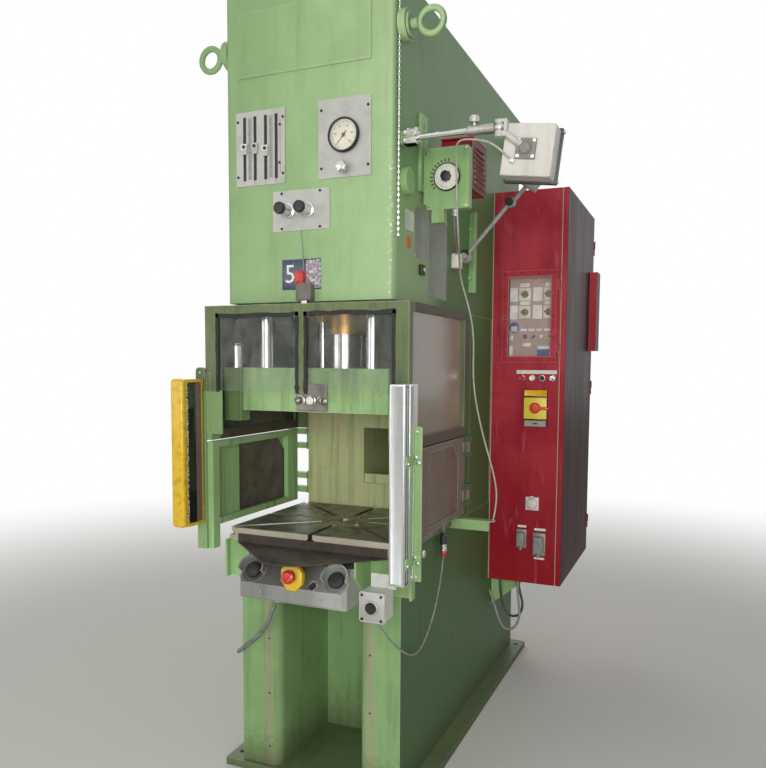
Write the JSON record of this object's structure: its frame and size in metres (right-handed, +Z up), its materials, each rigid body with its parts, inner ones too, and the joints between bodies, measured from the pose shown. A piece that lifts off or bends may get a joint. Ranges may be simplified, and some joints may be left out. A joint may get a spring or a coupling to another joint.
{
  "type": "single column hydraulic press",
  "caption": "Tall single column hydraulic press with guarded die space, T-slotted table, two-hand console, light curtains, swivel terminal and side switch cabinet.",
  "frame": {"origin": "centre of the four foundation bolt holes, at floor level", "axes": "+Z up, +X to the operator's right, -Y towards the operator"},
  "size_m": [1.3524, 2.2959, 2.915],
  "materials": {
    "green_enamel": "worn gloss enamel",
    "table_steel": "oiled ground steel",
    "dark_sheet": "dark grey paint",
    "chrome_steel": "hard chromed, ground",
    "bronze": "machined bronze",
    "bright_steel": "machined steel",
    "aluminium": "natural anodised",
    "console_grey": "hammered grey paint",
    "signal_yellow": "satin paint",
    "signal_red": "moulded plastic",
    "black_plastic": "moulded plastic",
    "white_plastic": "moulded plastic",
    "clear_pane": "aged clear sheet",
    "smoked_pane": "aged brownish clear sheet",
    "black_rubber": "matt",
    "cabinet_red": "satin enamel",
    "light_grey_case": "textured light grey paint",
    "motor_blue": "paint",
    "grey_cable": "cable sheath",
    "dark_cable": "cable sheath"
  },
  "bodies": {
    "press_frame": {"base_frame": "green_enamel", "column_box": "green_enamel", "head_box": "green_enamel", "cylinder_barrel": "bright_steel", "guide_bushes": "bronze", "power_pack": "motor_blue", "table_plate": "table_steel", "table_apron": "dark_sheet", "guard_frame": "green_enamel", "guard_panes": "clear_pane", "guard_gaskets": "black_rubber", "interlock_switch": "signal_red", "light_curtain_left": "signal_yellow", "light_curtain_right": "aluminium", "console_brackets": "green_enamel", "console_body": "console_grey", "estop_block": "signal_yellow", "button_box": "console_grey", "front_plates": "bright_steel", "pressure_gauge": "bright_steel", "lifting_eyes": "green_enamel", "side_fittings": "green_enamel", "dial_box": "green_enamel", "louvre_box": "cabinet_red", "cabinet_body": "cabinet_red", "cabinet_fittings": "black_plastic", "cable_plug": "bright_steel", "button_cable": "grey_cable", "terminal_cable": "grey_cable", "console_conduit": "dark_cable", "cabinet_cables": "dark_cable"},
    "slide": {"slide_plate": "green_enamel", "ram_rod": "chrome_steel", "guide_rods": "chrome_steel", "shank_clamp": "bright_steel"},
    "left_door": {"door_left": "green_enamel", "pane_left": "smoked_pane"},
    "right_door": {"door_right": "green_enamel", "pane_right": "smoked_pane"},
    "cabinet_side_door": {"cabinet_door": "cabinet_red"},
    "operator_window": {"window_door": "cabinet_red", "window_pane": "clear_pane"},
    "main_switch": {"main_switch_handle": "signal_red"},
    "stop_button": {"push_button_red": "signal_red"},
    "start_button": {"push_button_white": "white_plastic"},
    "set_button": {"push_button_black": "black_plastic"},
    "estop_head": {"estop_mushroom": "signal_red"},
    "left_palm": {"palm_button_left": "black_plastic"},
    "right_palm": {"palm_button_right": "black_plastic"},
    "console_push": {"console_button": "black_plastic"},
    "box_push": {"box_button": "bright_steel"},
    "left_valve": {"valve_knob_left": "bright_steel"},
    "right_valve": {"valve_knob_right": "bright_steel"},
    "gauge_shut_off": {"gauge_valve": "bright_steel"},
    "needle": {"gauge_needle": "black_plastic"},
    "setting_dial": {"dial_knob": "black_plastic"},
    "arm": {"arm_pipe": "chrome_steel"},
    "operator_terminal": {"terminal": "light_grey_case"},
    "lamp_lower": {"lamp_lower_arm": "bright_steel"},
    "lamp_upper": {"lamp_upper_arm": "bright_steel"}
  },
  "joints": [
    {"name": "ram_stroke", "type": "slide", "parent": "press_frame", "child": "slide", "axis": [0, 0, -1], "range_m": [0, 0.38]},
    {"name": "left_door_hinge", "type": "hinge", "parent": "press_frame", "child": "left_door", "pos_m": [-0.421, -0.327, 1.15], "axis": [0, 0, 1], "range_deg": [-90, 0]},
    {"name": "right_door_hinge", "type": "hinge", "parent": "press_frame", "child": "right_door", "pos_m": [0.421, -0.327, 1.15], "axis": [0, 0, 1], "range_deg": [0, 90]},
    {"name": "cabinet_door_hinge", "type": "hinge", "parent": "press_frame", "child": "cabinet_side_door", "pos_m": [0.695, 1.155, 1.48], "axis": [0, 0, 1], "range_deg": [0, 100]},
    {"name": "operator_window_hinge", "type": "hinge", "parent": "press_frame", "child": "operator_window", "pos_m": [0.664, 0.305, 1.838], "axis": [0, 0, 1], "range_deg": [0, 110]},
    {"name": "main_switch_turn", "type": "hinge", "parent": "press_frame", "child": "main_switch", "pos_m": [0.563, 0.29, 1.402], "axis": [0, -1, 0], "range_deg": [0, 90]},
    {"name": "stop_button_press", "type": "slide", "parent": "press_frame", "child": "stop_button", "axis": [0, 1, 0], "range_m": [0, 0.003], "stiffness_N_per_m": 400, "springref_m": -0.002},
    {"name": "start_button_press", "type": "slide", "parent": "press_frame", "child": "start_button", "axis": [0, 1, 0], "range_m": [0, 0.003], "stiffness_N_per_m": 400, "springref_m": -0.002},
    {"name": "set_button_press", "type": "slide", "parent": "press_frame", "child": "set_button", "axis": [0, 1, 0], "range_m": [0, 0.003], "stiffness_N_per_m": 400, "springref_m": -0.002},
    {"name": "estop_press", "type": "slide", "parent": "press_frame", "child": "estop_head", "axis": [0, 0.7665, -0.6422], "range_m": [0, 0.006]},
    {"name": "left_palm_press", "type": "slide", "parent": "press_frame", "child": "left_palm", "axis": [0, 0.7665, -0.6422], "range_m": [0, 0.006], "stiffness_N_per_m": 600, "springref_m": -0.003},
    {"name": "right_palm_press", "type": "slide", "parent": "press_frame", "child": "right_palm", "axis": [0, 0.7665, -0.6422], "range_m": [0, 0.006], "stiffness_N_per_m": 600, "springref_m": -0.003},
    {"name": "console_button_press", "type": "slide", "parent": "press_frame", "child": "console_push", "axis": [0, 0.7665, -0.6422], "range_m": [0, 0.003], "stiffness_N_per_m": 400, "springref_m": -0.002},
    {"name": "box_button_press", "type": "slide", "parent": "press_frame", "child": "box_push", "axis": [0, 1, 0], "range_m": [0, 0.003], "stiffness_N_per_m": 400, "springref_m": -0.002},
    {"name": "left_valve_turn", "type": "hinge", "parent": "press_frame", "child": "left_valve", "pos_m": [-0.072, -0.929, 2.146], "axis": [0, -1, 0], "range_deg": [-150, 150]},
    {"name": "right_valve_turn", "type": "hinge", "parent": "press_frame", "child": "right_valve", "pos_m": [0.006, -0.929, 2.146], "axis": [0, -1, 0], "range_deg": [-150, 150]},
    {"name": "gauge_valve_turn", "type": "hinge", "parent": "press_frame", "child": "gauge_shut_off", "pos_m": [0.15, -0.929, 2.277], "axis": [0, -1, 0], "range_deg": [0, 360]},
    {"name": "gauge_needle_turn", "type": "hinge", "parent": "press_frame", "child": "needle", "pos_m": [0.15, -0.929, 2.385], "axis": [0, 1, 0], "range_deg": [0, 270]},
    {"name": "setting_dial_turn", "type": "hinge", "parent": "press_frame", "child": "setting_dial", "pos_m": [0.439, -0.685, 2.275], "axis": [0, -1, 0], "range_deg": [-150, 150]},
    {"name": "arm_roll", "type": "hinge", "parent": "press_frame", "child": "arm", "pos_m": [0.367, -0.855, 2.372], "axis": [1, 0, 0], "range_deg": [-15, 15], "deforming": ["terminal_cable"]},
    {"name": "terminal_swivel", "type": "hinge", "parent": "arm", "child": "operator_terminal", "pos_m": [0.673, -0.855, 2.372], "axis": [0, 0, 1], "range_deg": [-30, 30], "deforming": ["terminal_cable"]},
    {"name": "lamp_base_joint", "type": "hinge", "parent": "press_frame", "child": "lamp_lower", "pos_m": [0.371, -0.225, 2.056], "axis": [0, -1, 0], "range_deg": [-20, 25]},
    {"name": "lamp_elbow_joint", "type": "hinge", "parent": "lamp_lower", "child": "lamp_upper", "pos_m": [0.55903, -0.225, 2.26482], "axis": [0, -1, 0], "range_deg": [-60, 40]}
  ]
}
